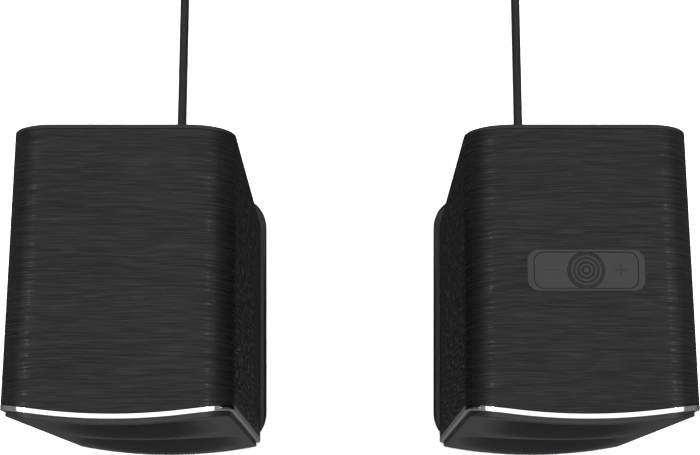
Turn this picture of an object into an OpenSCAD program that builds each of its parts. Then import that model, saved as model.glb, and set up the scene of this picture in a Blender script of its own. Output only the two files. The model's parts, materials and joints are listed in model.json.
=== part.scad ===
// A pair of desktop speakers: two sealed wooden cabinets on base plates, each with two drivers in a
// dished front panel, volume keys on top of the right one, and a lead behind each.
// Frame: the origin is on the desk, midway between the speakers. +X is right, -Y is the front.
// Every piece is drawn for the right speaker, about its own middle plane, and place() mirrors it.

/* [Speakers] */
// Distance from the origin to the middle of each speaker
speaker_x = 100; // [90:1:140]
// Width across the front of a cabinet
front_w = 101; // [98:0.5:104]
// Width across the rear of a cabinet
rear_w = 98.2; // [96:0.2:101]
// Height of a cabinet
cabinet_h = 214.5; // [212:0.5:220]
// Radius of the cabinet's long edges
edge_r = 20; // [14:1:22]
// Radius of the wood's two lower edges
low_edge_r = 3; // [1:0.5:6]
// Thickness of the wood
wall = 4; // [3:0.5:5]

/* [Front and rear] */
// Foremost point of the front panel
face_y = -73.2; // [-74:0.2:-72]
// Radius of the front panel's bulge
face_r = 255; // [240:5:300]
// Foremost point of the trim
trim_y = -71.1; // [-71.6:0.1:-70.6]
// Radius of the trim's bulge
trim_r = 256; // [240:1:280]
// Thickness of the trim
trim_t = 2.1; // [1.8:0.1:2.4]
// Width of the trim seen from the front
trim_w = 2.2; // [1.8:0.1:2.6]
// Rear face of the rear cover
rear_y = 56.5; // [54:0.1:60]
// Thickness of the rear cover's rim
cover_t = 1.8; // [1.5:0.1:2.4]

/* [Base] */
// Width of the base plate at its front
plate_front_w = 106.8; // [104:0.2:110]
// Width of the base plate at its rear
plate_rear_w = 104.4; // [102:0.2:108]
// Front edge of the base plate
plate_front_y = -67.8; // [-70:0.2:-64]
// Rear edge of the base plate
plate_rear_y = 73.8; // [70:0.2:76]
// Corner radius of the base plate
plate_r = 18; // [14:1:22]
// Thickness of the base plate
plate_t = 4; // [3:0.5:5]
// Thickness of the rubber foot under it
foot_t = 1.5; // [1:0.1:2]

/* [Keys] */
// Width of the key bezel
bezel_w = 50.2; // [48:0.5:52]
// Depth of the key bezel
bezel_d = 18; // [17.4:0.1:19]
// Middle of the key bezel, front to back
bezel_y = -8; // [-14:0.2:0]
// Middle of the key bezel, outward from the cabinet's middle
bezel_x = 0.7; // [-2:0.1:2]
// Diameter of the round button
button_d = 15.6; // [15:0.1:16]
// Travel of the keys and the button
key_travel = 0.6; // [0.3:0.1:0.7]

/* [Leads] */
// Diameter of each lead
lead_d = 5; // [4.8:0.1:5.2]
// Height of the lead where it leaves the cabinet
lead_z = 16; // [14:0.5:20]
// How far inward of the cabinet's middle the lead leaves
lead_in = 2.5; // [0:0.5:5]

/* [Hidden] */
$fn = 64;
SIDES = ["left", "right"];
SHARED = ["cabinet", "front_trim", "front_panel", "rear_cover", "base_plate", "foot_pad", "base_screws",
          "cover_screws", "driver_screws", "upper_frame", "upper_motor", "upper_cone", "upper_surround",
          "upper_dust_cap", "lower_frame", "lower_motor", "lower_cone", "lower_surround", "lower_dust_cap",
          "strain_relief", "lead", "lead_coil", "lead_tie", "plug"];
RIGHT_ONLY = ["key_bezel", "volume_down_key", "volume_up_key", "round_button", "key_board",
              "amplifier_board", "link_jack"];

wood = "#2b2a29";
satin_black = "#333437";
soft_black = "#1c1c1e";
bright = "#d8dadd";
steel = "#8d9094";
board_green = "#1f4a33";

gap = 0.1;                            // room between fitted faces
base_z = foot_t + plate_t;            // underside of the cabinet
mid_z = base_z + cabinet_h / 2;
top_z = base_z + cabinet_h;
wood_rear_y = rear_y - cover_t;
trim_axis_y = trim_y + trim_r;        // the trim and the wood's front edge bulge about this line
face_axis_y = face_y + face_r;
wood_front_r = trim_r - trim_t;
wood_front_y = trim_y + trim_t;       // foremost point of the wood
panel_w = front_w - 2 * trim_w;
panel_h = cabinet_h - 2 * trim_w;
mouth_w = rear_w - 2 * wall;          // opening inside the wood, the same all the way back
mouth_h = cabinet_h - 2 * wall;
boss_r = 5;
boss_y = 36;
boss_l = 12.3;

// Drivers: middle height, hole in the panel, travel each way, coil radius, cone depth, magnet radius
UPPER = ["upper", base_z + 165.5, 24, 2, 8.5, 8, 21];
LOWER = ["lower", base_z + 64, 34, 3, 12.5, 14, 30];
dish_floor_y = -63;                   // front of the flat ring round each driver's hole
dish_back_y = dish_floor_y + 3;       // the driver frames sit on this face
dish_wall = 2.5;
upper_dish_w = 84;
upper_dish_h = 86;
upper_dish_r = 20;
upper_dish_z = base_z + 165.5;
lower_dish_r = 45.5;                  // an oval: two arcs of this radius, this far apart
lower_dish_rise = 20;
lower_dish_z = base_z + 64;

opening_w = 44.6;                      // opening in the bezel, which the keys fill
opening_d = 15.9;
opening_r = 4.2;
bezel_r = 4.8;
key_gap = 0.2;
bezel_top_z = top_z + 0.4;
key_top_z = top_z + 0.2;
key_t = 2;
board_z = top_z - 9.5;                // top face of the key board
switch_h = 3.7;

cover_in_y = wood_rear_y - 0.8;       // inner face of the rear cover
post_l = 11;                          // posts between a board and the rear cover
jack_x = 22;
jack_z = 30;
gland_y = 71.3;                       // tip of the strain relief, where the lead leaves it
gland_l = gland_y - rear_y;
coil_y = 238;                         // middle of the lead's coil
coil_r = 36;                          // its outermost turn
coil_x = -lead_in - coil_r;
coil_in_r = 17.6;
coil_out_r = 38.5;
coil_lift = 0.6;                      // the tie passes under the coil
coil_h = 2 * lead_d + 0.2;
tie_t = 0.5;
tie_w = 8;
tie_angle = 150;
// The lead from the strain relief to the coil, down onto the desk and straight back
RUN = [[-2.5, gland_y, 16], [-2.5, 76, 15.9], [-2.5, 81, 15.2], [-2.5, 86, 13.7], [-2.5, 91, 11.5],
       [-2.5, 96, 8.9], [-2.5, 101, 6.4], [-2.5, 107, 4.2], [-2.5, 114, 2.9], [-2.5, 122, 2.5],
       [-2.5, 138, 2.5], [-2.5, 156, 2.5], [-2.5, 174, 2.5], [-2.5, 192, 2.5], [-2.5, 208, 2.6],
       [-2.5, 222, 2.9]];
// The lead's last stretch, off the coil and down onto the desk, to the plug
TAIL = [[-13, 263.5, 8.3], [-17.2, 267.7, 8.2], [-21.4, 271.9, 7.7], [-25.4, 275.9, 6.2],
        [-29.6, 279.6, 4.4], [-34.6, 282.8, 3.1], [-40.4, 284.6, 2.8], [-46.5, 285, 3.4],
        [-54.5, 285, 4.2]];
plug_x = -54.5;
plug_y = 285;
plug_r = 4.2;                         // the plug lies on the desk, its axis this high

// ---------------------------------------------------------------- helpers

// Puts a piece drawn about the right speaker's middle plane where it belongs
module place(side) {
    mirror([side == "left" ? 1 : 0, 0, 0])
        translate([speaker_x, 0, 0])
            children();
}

// Rectangle with round corners, centred on the origin
module round_rect(w, h, r) {
    square([w - 2 * r, h], center = true);
    square([w, h - 2 * r], center = true);
    for (x = [-1, 1], y = [-1, 1])
        translate([x * (w / 2 - r), y * (h / 2 - r)])
            circle(r);
}

// Outline of the cabinet, well rounded at the top only, or one that lies inset from it
module case_outline(w, h, inset) {
    top_r = edge_r - inset;
    low_r = max(low_edge_r - inset, 0.5);
    translate([top_r - w / 2, low_r - h / 2])
        square([w - 2 * top_r, h - low_r]);
    translate([-w / 2, low_r - h / 2])
        square([w, h - low_r - top_r]);
    translate([low_r - w / 2, -h / 2])
        square([w - 2 * low_r, 2 * low_r]);
    for (x = [-1, 1]) {
        translate([x * (w / 2 - top_r), h / 2 - top_r])
            circle(top_r);
        translate([x * (w / 2 - low_r), low_r - h / 2])
            circle(low_r);
    }
}

// Stands an outline up in the XZ plane and gives it depth towards the rear
module upright(y, depth, z = mid_z) {
    translate([0, y + depth, z])
        rotate([90, 0, 0])
            linear_extrude(depth)
                children();
}

// Turns a profile, drawn as [radius, depth], about a line that runs front to back
module turned(y, z, x = 0) {
    translate([x, y, z])
        rotate([-90, 0, 0])
            rotate_extrude()
                children();
}

module rod(r, y, depth, x, z) {
    translate([x, y, z])
        rotate([-90, 0, 0])
            cylinder(r = r, h = depth);
}

// Everything behind a bulged front of radius r
module behind_bulge(axis_y, r) {
    translate([0, axis_y, -1])
        cylinder(r = r, h = top_z + 2, $fn = 360);
}

function unit(v) = v / norm(v);
function blend_point(a, b, c, d, t) =
    0.5 * (2 * b + (c - a) * t + (2 * a - 5 * b + 4 * c - d) * t * t + (3 * b - a - 3 * c + d) * t * t * t);
// A smooth line through the points p, with n steps between each pair
function smooth(p, n) = concat(
    [for (i = [0 : len(p) - 2], k = [0 : n - 1])
        blend_point(p[max(i - 1, 0)], p[i], p[i + 1], p[min(i + 2, len(p) - 1)], k / n)],
    [p[len(p) - 1]]);

// A round tube along a line of points that never stands upright
module tube(line, r, sides) {
    last = len(line) - 1;
    rings = [for (i = [0 : last])
        let (ahead = unit(line[min(i + 1, last)] - line[max(i - 1, 0)]),
             across = unit(cross(ahead, [0, 0, 1])),
             up = cross(across, ahead))
            [for (k = [0 : sides - 1])
                line[i] + r * (cos(360 * k / sides) * across + sin(360 * k / sides) * up)]];
    points = [for (ring = rings, p = ring) p];
    walls = [for (i = [0 : last - 1], k = [0 : sides - 1])
        let (n = (k + 1) % sides)
            [i * sides + k, i * sides + n, (i + 1) * sides + n, (i + 1) * sides + k]];
    start = [for (k = [sides - 1 : -1 : 0]) k];
    end = [for (k = [0 : sides - 1]) last * sides + k];
    polyhedron(points, concat([start], walls, [end]));
}

// ---------------------------------------------------------------- cabinet

// The cabinet's outline, drawn in a little towards the rear
module cabinet_block(y0, y1, inset = 0) {
    w0 = front_w + (rear_w - front_w) * (y0 - wood_front_y) / (rear_y - wood_front_y);
    w1 = front_w + (rear_w - front_w) * (y1 - wood_front_y) / (rear_y - wood_front_y);
    translate([0, y0, mid_z])
        rotate([-90, 0, 0])
            linear_extrude(y1 - y0, scale = [w1 / w0, 1], slices = 1)
                mirror([0, 1])
                    case_outline(w0 - 2 * inset, cabinet_h - 2 * inset, inset);
}

module cabinet(side) {
    color(wood)
    place(side)
    difference() {
        intersection() {
            cabinet_block(wood_front_y, wood_rear_y);
            behind_bulge(trim_axis_y, wood_front_r);
        }
        difference() {
            upright(wood_front_y - 1, wood_rear_y - wood_front_y + 2)
                case_outline(mouth_w, mouth_h, wall);
            for (p = cover_screw_places())
                rod(boss_r, boss_y, boss_l, p.x, p.y);
        }
        for (p = cover_screw_places())
            rod(1.6, boss_y + 3, boss_l, p.x, p.y);
        for (p = base_screw_places())
            translate([p.x, p.y, base_z - 1])
                cylinder(r = 1.6, h = wall + 2);
        if (side == "right")
            translate([bezel_x, bezel_y, top_z - wall - 1])
                linear_extrude(wall + 2)
                    round_rect(bezel_w - 0.6, bezel_d - 0.6, bezel_r - 0.3);
    }
}

module front_trim(side) {
    color(bright)
    place(side)
    difference() {
        intersection() {
            upright(trim_y, 8)
                case_outline(front_w, cabinet_h, 0);
            behind_bulge(trim_axis_y, trim_r);
        }
        behind_bulge(trim_axis_y, wood_front_r);
        upright(trim_y - 1, 10)
            case_outline(panel_w + gap, panel_h + gap, trim_w - gap / 2);
    }
}

// ---------------------------------------------------------------- front panel

// A thin slice of the upper dish's outline, to blend from
module upper_slice(y, w, h, r) {
    upright(y, 0.1, upper_dish_z)
        round_rect(w, h, r, $fn = 32);
}

module upper_dish(grow = 0) {
    hull() {
        upper_slice(face_y - 0.2, upper_dish_w + 2 * grow, upper_dish_h + 2 * grow, upper_dish_r + grow);
        upper_slice(dish_floor_y - 0.1 + grow, 56 + 2 * grow, 56 + 2 * grow, 27.9 + grow);
    }
}

module lower_dish(grow = 0) {
    hull() {
        for (rise = [-lower_dish_rise / 2, lower_dish_rise / 2])
            rod(lower_dish_r + grow, face_y - 0.2, 0.1, 0, lower_dish_z + rise, $fn = 32);
        rod(38 + grow, dish_floor_y - 0.1 + grow, 0.1, 0, lower_dish_z, $fn = 32);
    }
}

module front_panel(side) {
    inner_w = mouth_w - 0.4;
    inner_h = mouth_h - 0.4;
    color(satin_black)
    place(side)
    difference() {
        union() {
            intersection() {
                upright(face_y, 10)
                    case_outline(panel_w, panel_h, trim_w);
                behind_bulge(face_axis_y, face_r);
                difference() {
                    translate([-front_w / 2, face_y - 1, 0])
                        cube([front_w, 20, top_z]);
                    behind_bulge(trim_axis_y, wood_front_r);
                }
            }
            intersection() {
                upright(face_y + 2, dish_back_y - face_y - 2)
                    case_outline(inner_w, inner_h, wall + 0.2);
                behind_bulge(face_axis_y, face_r);
            }
        }
        // hollow behind, round the two dishes
        difference() {
            upright(face_y + 7.5, 20)
                case_outline(inner_w - 2 * dish_wall, inner_h - 2 * dish_wall, wall + dish_wall);
            upper_dish(dish_wall);
            lower_dish(dish_wall);
            for (d = [UPPER, LOWER])
                rod(d[2] + 8.5, dish_floor_y - 2, 5, 0, d[1]);
        }
        upper_dish();
        lower_dish();
        for (d = [UPPER, LOWER]) {
            rod(d[2], face_y, 20, 0, d[1]);
            for (p = driver_screw_places(d))
                rod(1.3, dish_back_y - 2.2, 3, p.x, p.y);
        }
    }
}

// ---------------------------------------------------------------- drivers

// Radii that follow from the hole: surround's lip, frame's bore, wall and flange
function lip_r(d) = d[2] + 1.5;
function bore_r(d) = lip_r(d) + 0.5;
function wall_r(d) = bore_r(d) + 1.8;
function flange_r(d) = bore_r(d) + 6;
function cone_r(d) = d[2] - 7;
function driver_screw_places(d) =
    [for (a = [45 : 90 : 315]) [(bore_r(d) + 4.1) * cos(a), d[1] + (bore_r(d) + 4.1) * sin(a)]];
// Depths behind the face that the frame sits on
function lip_y(d) = dish_back_y + d[3] + 0.6;
function cone_end_y(d) = lip_y(d) + d[5];
function frame_end_y(d) = cone_end_y(d) + d[3] + 3;

module driver_frame(side, d) {
    depth = frame_end_y(d) - dish_back_y;
    color(steel)
    place(side)
    difference() {
        turned(dish_back_y, d[1])
            polygon([[bore_r(d), 0], [flange_r(d), 0], [flange_r(d), 1.5], [wall_r(d), 1.5],
                     [wall_r(d), depth], [d[4] + 2, depth], [d[4] + 2, depth - 1.8],
                     [bore_r(d), depth - 1.8]]);
        for (a = [0 : 45 : 135])
            translate([0, dish_back_y + depth / 2 + 1, d[1]])
                rotate([0, a, 0])
                    cube([3 * flange_r(d), depth - 7, d[2] * 0.45], center = true);
        for (p = driver_screw_places(d))
            rod(1.3, dish_back_y - 1, 4, p.x, p.y);
    }
}

// Plates, ring magnet and centre pole behind a driver's frame
module driver_motor(side, d) {
    plate = 3;
    magnet = d[6] / 2.4;
    color(soft_black)
    place(side)
    turned(frame_end_y(d), d[1])
        polygon([[d[4] + 1, 0], [d[6] - 2, 0], [d[6] - 2, plate], [d[6], plate], [d[6], plate + magnet],
                 [d[6] - 2, plate + magnet], [d[6] - 2, 2 * plate + magnet], [0, 2 * plate + magnet],
                 [0, 0], [d[4] - 1.6, 0], [d[4] - 1.6, plate + magnet], [d[4] + 3, plate + magnet],
                 [d[4] + 3, plate], [d[4] + 1, plate]]);
}

// Paper cone with the voice coil's former behind it
module driver_cone(side, d) {
    skin = 0.8;
    former = d[3] + 5;
    color("#26262a")
    place(side)
    turned(lip_y(d), d[1])
        polygon([[cone_r(d), 0], [cone_r(d), skin], [d[4], d[5]], [d[4], d[5] + former],
                 [d[4] - skin, d[5] + former], [d[4] - skin, d[5] - 1], [cone_r(d) - 1.6, 0]]);
}

// Half-roll rubber ring from the cone to the lip behind the panel
module driver_surround(side, d) {
    roll_mid = cone_r(d) + 3.1;
    roll_r = 2.9;
    skin = 0.7;
    color(soft_black)
    place(side)
    turned(lip_y(d), d[1])
        union() {
            difference() {
                translate([roll_mid, 0])
                    circle(roll_r, $fn = 48);
                translate([roll_mid, 0])
                    circle(roll_r - skin, $fn = 48);
                translate([0, 0.001])
                    square([lip_r(d) + 5, 10]);
            }
            translate([roll_mid + roll_r - skin, 0])
                square([lip_r(d) - roll_mid - roll_r + skin, skin]);
            translate([cone_r(d) + 0.05, 0])
                square([roll_mid - roll_r + skin - cone_r(d) - 0.05, skin]);
        }
}

// Depth at which the cone's front surface has radius r
function cone_front_y(d, r) = lip_y(d) + (d[5] - 1) * (cone_r(d) - 1.6 - r) / (cone_r(d) - 0.8 - d[4]);

module driver_dust_cap(side, d) {
    ball = d[4] * 1.35;
    rim = d[4] + 0.9;
    rim_y = cone_front_y(d, rim) - gap;
    color("#2c2c30")
    place(side)
    intersection() {
        translate([0, rim_y + sqrt(ball * ball - rim * rim), d[1]])
            difference() {
                sphere(ball, $fn = 96);
                sphere(ball - 0.8, $fn = 96);
            }
        rod(rim, rim_y - ball, ball, 0, d[1]);
    }
}

module driver_screws(side) {
    color(steel)
    place(side)
    for (d = [UPPER, LOWER], p = driver_screw_places(d)) {
        rod(1.25, dish_back_y - 2, 3.5, p.x, p.y);
        rod(2.2, dish_back_y + 1.5, 1.4, p.x, p.y);
    }
}

// ---------------------------------------------------------------- rear cover and base

// The screws go into a boss in each corner of the cabinet
function cover_screw_places() = [for (x = [-1, 1]) each [[x * 38, mid_z + 96], [x * 40.5, base_z + 8.6]]];
function base_screw_places() = [for (x = [-1, 1], y = [-1, 1]) [x * 24, -4 + y * 40]];

module rear_cover(side) {
    plug_w = mouth_w - 0.4;
    plug_h = mouth_h - 0.4;
    color(satin_black)
    place(side)
    difference() {
        union() {
            cabinet_block(wood_rear_y, rear_y);
            upright(wood_rear_y - 6, 6)
                case_outline(plug_w, plug_h, wall + 0.2);
        }
        upright(cover_in_y - 6.2, 6.2)
            case_outline(plug_w - 5, plug_h - 5, wall + 2.7);
        for (p = cover_screw_places())
            rod(1.6, wood_rear_y - 8, 12, p.x, p.y);
        if (side == "right")
            rod(4.1, wood_rear_y - 8, 12, jack_x, jack_z);
    }
}

module cover_screws(side) {
    color(steel)
    place(side)
    for (p = cover_screw_places()) {
        rod(1.5, boss_y + 5, rear_y - boss_y - 5, p.x, p.y);
        difference() {
            rod(2.8, rear_y, 1.5, p.x, p.y);
            for (a = [0, 90])
                translate([p.x, rear_y + 1.5, p.y])
                    rotate([0, a, 0])
                        cube([3.2, 1.6, 0.7], center = true);
        }
    }
}

// Outline of the base plate, wider at the front
module plate_outline(inset) {
    hull()
        for (x = [-1, 1]) {
            translate([x * (plate_front_w / 2 - plate_r), plate_front_y + plate_r])
                circle(plate_r - inset);
            translate([x * (plate_rear_w / 2 - plate_r), plate_rear_y - plate_r])
                circle(plate_r - inset);
        }
}

module base_plate(side) {
    color(satin_black)
    place(side)
    difference() {
        translate([0, 0, foot_t])
            linear_extrude(plate_t)
                plate_outline(0);
        for (p = base_screw_places()) {
            translate([p.x, p.y, 0])
                cylinder(r = 1.6, h = 10);
            translate([p.x, p.y, foot_t - 1])
                cylinder(r = 3, h = 3);
        }
    }
}

module base_screws(side) {
    color(steel)
    place(side)
    for (p = base_screw_places()) {
        translate([p.x, p.y, foot_t + 0.2])
            cylinder(r = 2.8, h = 1.8);
        translate([p.x, p.y, foot_t + 2])
            cylinder(r = 1.5, h = plate_t + wall);
    }
}

module foot_pad(side) {
    color(soft_black)
    place(side)
    linear_extrude(foot_t)
        plate_outline(2.5);
}

// ---------------------------------------------------------------- keys on the right speaker

module key_bezel() {
    color(satin_black)
    place("right")
    translate([bezel_x, bezel_y, 0])
    difference() {
        union() {
            translate([0, 0, top_z])
                linear_extrude(bezel_top_z - top_z)
                    round_rect(bezel_w, bezel_d, bezel_r);
            translate([0, 0, top_z - wall - 1.5])
                linear_extrude(wall + 1.5)
                    round_rect(bezel_w - 0.8, bezel_d - 0.8, bezel_r - 0.4);
            for (x = [-1, 1])
                translate([x * 23.6, 0, (board_z + top_z) / 2 - 1])
                    cube([1.6, 12, top_z - board_z - 2], center = true);
        }
        translate([0, 0, top_z - 20])
            linear_extrude(30)
                round_rect(opening_w, opening_d, opening_r);
    }
}

// Half of the opening, less the round button: a volume key with a stem for its switch
module volume_key(way) {
    mark = 5.4;
    color(satin_black)
    place("right")
    translate([bezel_x, bezel_y, 0]) {
        difference() {
            translate([0, 0, key_top_z - key_t])
                linear_extrude(key_t)
                    round_rect(opening_w - 2 * key_gap, opening_d - 2 * key_gap, opening_r - key_gap);
            translate([0, 0, key_top_z - 10])
                cylinder(d = button_d + 2 * key_gap, h = 20);
            translate([way > 0 ? -40 : 0, -20, key_top_z - 10])
                cube([40, 40, 20]);
            translate([way * 14.6, 0, key_top_z])
                cube([mark, 0.3, 0.3], center = true);
            if (way > 0)
                translate([way * 14.6, 0, key_top_z])
                    cube([0.3, mark, 0.3], center = true);
        }
        translate([way * 14.6, 0, board_z + switch_h + key_travel + 0.1])
            cylinder(r = 2, h = key_top_z - key_t - board_z - switch_h - key_travel - 0.1);
    }
}

module round_button() {
    groove = 0.9;
    color(soft_black)
    place("right")
    translate([bezel_x, bezel_y, 0]) {
        difference() {
            translate([0, 0, key_top_z - key_t])
                cylinder(d = button_d, h = key_t + 0.1);
            for (r = [1.6 : 2 * groove : 7.2])
                translate([0, 0, key_top_z - 0.15])
                    difference() {
                        cylinder(r = r + groove / 2, h = 1);
                        translate([0, 0, -1])
                            cylinder(r = r - groove / 2, h = 3);
                    }
        }
        translate([0, 0, board_z + switch_h + key_travel + 0.1])
            cylinder(r = 2, h = key_top_z - key_t - board_z - switch_h - key_travel - 0.1);
    }
}

module key_board() {
    color(board_green)
    place("right")
    translate([bezel_x, bezel_y, 0]) {
        translate([-24.5, -8, board_z - 1.6])
            cube([49, 16, 1.6]);
        for (x = [-14.6, 0, 14.6]) {
            translate([x - 3, -3, board_z])
                cube([6, 6, switch_h - 0.4]);
            translate([x, 0, board_z])
                cylinder(r = 1.7, h = switch_h);
        }
    }
}

// ---------------------------------------------------------------- electronics

module amplifier_board() {
    y = cover_in_y - post_l;
    color(board_green)
    place("right") {
        translate([-30, y - 1.6, 60])
            cube([60, 1.6, 48]);
        for (x = [-18, -4], z = [72, 96])
            rod(5, y - 1.6 - 13, 13, x, z);
        translate([8, y - 8.6, 70])
            cube([16, 7, 26]);
        translate([-22, y, 80])
            cube([8, 4.5, 10]);
        for (x = [-27, 27], z = [63, 105])
            rod(2.5, y, post_l, x, z);
    }
}

module terminal_board() {
    y = cover_in_y - post_l;
    color(board_green)
    place("left") {
        translate([-16, y - 1.6, 60])
            cube([32, 1.6, 30]);
        for (x = [-10, 2])
            translate([x, y - 9.6, 66])
                cube([8, 8, 10]);
        for (x = [-13, 13], z = [64, 86])
            rod(2.5, y, post_l, x, z);
    }
}

// A 3.5 mm socket that the left speaker's lead plugs into
module link_jack() {
    color(soft_black)
    place("right")
    difference() {
        union() {
            rod(4, cover_in_y - 1, rear_y + 0.4 - cover_in_y + 1, jack_x, jack_z);
            rod(5.5, cover_in_y - 15, 15 - gap, jack_x, jack_z);
        }
        rod(1.8, cover_in_y - 12.5, 30, jack_x, jack_z);
    }
}

// ---------------------------------------------------------------- leads

module strain_relief(side) {
    color(soft_black)
    place(side)
    turned(rear_y, lead_z, -lead_in)
        polygon([[0, 0], [6, 0], [6, 2], [4.8, 2.4], [4.6, 5], [4, 5], [4, 5.8], [4.4, 5.8], [4.2, 8],
                 [3.6, 8], [3.6, 8.8], [4, 8.8], [3.8, 11], [3.2, 11], [3.2, 11.8], [3.6, 11.8],
                 [3.2, gland_l], [0, gland_l]]);
}

module lead(side) {
    color(soft_black)
    place(side) {
        tube(smooth(RUN, 2), lead_d / 2, 8);
        tube(smooth(TAIL, 2), lead_d / 2, 8);
    }
}

module lead_coil(side) {
    corner = 2;
    color(soft_black)
    place(side)
    translate([coil_x, coil_y, coil_lift])
        rotate_extrude()
            translate([(coil_in_r + coil_out_r) / 2, coil_h / 2])
                round_rect(coil_out_r - coil_in_r, coil_h, corner);
}

module lead_tie(side) {
    inner_gap = 0.7;                  // the flat strap crosses the coil's round inner side
    span = coil_out_r - coil_in_r + inner_gap + gap;
    color("#3a3a3d")
    place(side)
    translate([coil_x, coil_y, 0])
    rotate([0, 0, tie_angle])
    translate([coil_in_r - inner_gap, -tie_w / 2, 0])
    difference() {
        translate([-tie_t, 0, 0])
            cube([span + 2 * tie_t, tie_w, coil_lift + coil_h + gap + tie_t]);
        translate([0, -1, tie_t])
            cube([span, tie_w + 2, coil_lift + coil_h + gap - tie_t]);
    }
}

// A 3.5 mm jack plug on the left lead and a flat USB plug on the right one
module plug(side) {
    color(soft_black)
    place(side)
    translate([plug_x, plug_y, plug_r])
    rotate([0, -90, 0])
        if (side == "left")
            rotate_extrude()
                polygon([[0, 0], [2.5, 0], [3, 8], [plug_r, 9], [plug_r, 22], [3.2, 23], [1.75, 23],
                         [1.75, 36], [1, 37.4], [0, 37.4]]);
        else
            usb_plug();
}

// Drawn upwards from the lead's end: neck, grip and metal shell
module usb_plug() {
    cylinder(r = 2.5, h = 8);
    translate([0, 0, 8 + 11])
        cube([2 * plug_r, 15.5, 22], center = true);
    translate([0, 0, 30 + 6])
        cube([4.5, 12, 12], center = true);
}

// ---------------------------------------------------------------- nodes

for (s = SIDES) {
    cabinet(s);
    front_trim(s);
    front_panel(s);
    rear_cover(s);
    base_plate(s);
    foot_pad(s);
    base_screws(s);
    cover_screws(s);
    driver_screws(s);
    for (d = [UPPER, LOWER]) {
        driver_frame(s, d);
        driver_motor(s, d);
        driver_cone(s, d);
        driver_surround(s, d);
        driver_dust_cap(s, d);
    }
    strain_relief(s);
    lead(s);
    lead_coil(s);
    lead_tie(s);
    plug(s);
}
key_bezel();
volume_key(-1);  // volume_down_key
volume_key(1);  // volume_up_key
round_button();
key_board();
amplifier_board();
link_jack();
terminal_board();
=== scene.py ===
"""Desktop speakers: two black wood-cased speakers on base plates, each with a lead.

Every piece but the leads is drawn in millimetres about the right speaker's own middle plane, and the
left speaker's is its mirror image. shape() turns millimetres into the frame's metres.
"""

import json
import math

import bmesh
import bpy
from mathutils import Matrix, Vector


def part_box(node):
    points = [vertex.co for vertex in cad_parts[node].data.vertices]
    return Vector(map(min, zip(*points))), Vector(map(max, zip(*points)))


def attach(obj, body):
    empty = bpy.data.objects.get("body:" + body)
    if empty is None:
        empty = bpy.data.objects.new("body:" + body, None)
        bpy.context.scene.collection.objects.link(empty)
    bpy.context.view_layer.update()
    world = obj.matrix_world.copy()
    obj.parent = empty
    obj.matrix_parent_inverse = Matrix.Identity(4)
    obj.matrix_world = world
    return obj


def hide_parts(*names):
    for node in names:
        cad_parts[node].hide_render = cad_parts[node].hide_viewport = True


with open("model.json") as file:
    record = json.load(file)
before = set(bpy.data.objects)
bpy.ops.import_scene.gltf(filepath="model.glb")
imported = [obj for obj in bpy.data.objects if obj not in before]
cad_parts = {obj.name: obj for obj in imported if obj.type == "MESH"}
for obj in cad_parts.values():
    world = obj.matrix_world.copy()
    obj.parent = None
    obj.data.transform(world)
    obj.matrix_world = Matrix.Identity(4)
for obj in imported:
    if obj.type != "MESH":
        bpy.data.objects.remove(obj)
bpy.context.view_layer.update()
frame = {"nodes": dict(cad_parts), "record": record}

MM = 0.001
ROOT = "speakers"
SIDES = {"left": -1, "right": 1}


def box_mm(node):
    low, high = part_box(node)
    return low / MM, high / MM


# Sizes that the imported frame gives
CASE_LOW, CASE_HIGH = box_mm("right_cabinet")
PANEL_LOW, PANEL_HIGH = box_mm("right_front_panel")
COVER_LOW, COVER_HIGH = box_mm("right_rear_cover")
PLATE_LOW, PLATE_HIGH = box_mm("right_base_plate")
BEZEL_LOW, BEZEL_HIGH = box_mm("key_bezel")

SPEAKER_X = (CASE_LOW.x + CASE_HIGH.x) / 2
FRONT_W = CASE_HIGH.x - CASE_LOW.x
REAR_W = 98.2
BASE_Z, TOP_Z = CASE_LOW.z, CASE_HIGH.z
HEIGHT = TOP_Z - BASE_Z
MID_Z = (TOP_Z + BASE_Z) / 2
EDGE_R, LOW_EDGE_R = 20, 3
WALL = 4
WOOD_FRONT_Y, WOOD_REAR_Y = CASE_LOW.y, CASE_HIGH.y
REAR_Y = COVER_HIGH.y
FACE_Y = PANEL_LOW.y
TRIM_T, TRIM_W, TRIM_R = 2.1, 2.2, 256
FACE_R = 255
BEZEL_X = (BEZEL_LOW.x + BEZEL_HIGH.x) / 2 - SPEAKER_X
BEZEL_Y = (BEZEL_LOW.y + BEZEL_HIGH.y) / 2


# ---------------------------------------------------------------- camera, floor and lights

CAMERA_ELEVATION = 78.19              # degrees above the desk

scene = bpy.context.scene
scene.view_settings.view_transform = "Standard"

camera = bpy.data.objects.new("camera", bpy.data.cameras.new("camera"))
camera.data.sensor_width = 36
camera.data.lens = 79.66
camera.location = (0, -0.1253, 0.870)
camera.rotation_euler = (math.radians(90 - CAMERA_ELEVATION), 0, 0)
scene.collection.objects.link(camera)
scene.camera = camera


def aim(obj, target):
    """Points a light at the target"""
    obj.rotation_euler = (Vector(target) - obj.location).to_track_quat("-Z", "Y").to_euler()


def softbox(name, location, target, width, depth, radiance):
    """A soft light whose face has the given radiance"""
    light = bpy.data.lights.new(name, "AREA")
    light.shape = "RECTANGLE"
    light.size, light.size_y = width, depth
    light.energy = radiance * math.pi * width * depth
    obj = bpy.data.objects.new(name, light)
    obj.location = location
    aim(obj, target)
    obj.visible_camera = False
    scene.collection.objects.link(obj)


softbox("overhead", (0, 0.3, 1.75), (0, 0.3, 0), 3.0, 2.8, 1.2)
for side, sign in SIDES.items():
    softbox(side + "_strip", (sign * 1.8, 0.12, 1.65), (0, 0.12, 0.22), 0.9, 0.08, 14)
    softbox(side + "_panel", (sign * 2.6, 0.1, 1.85), (0, 0.1, 0.22), 2.8, 1.6, 1.1)

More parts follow.
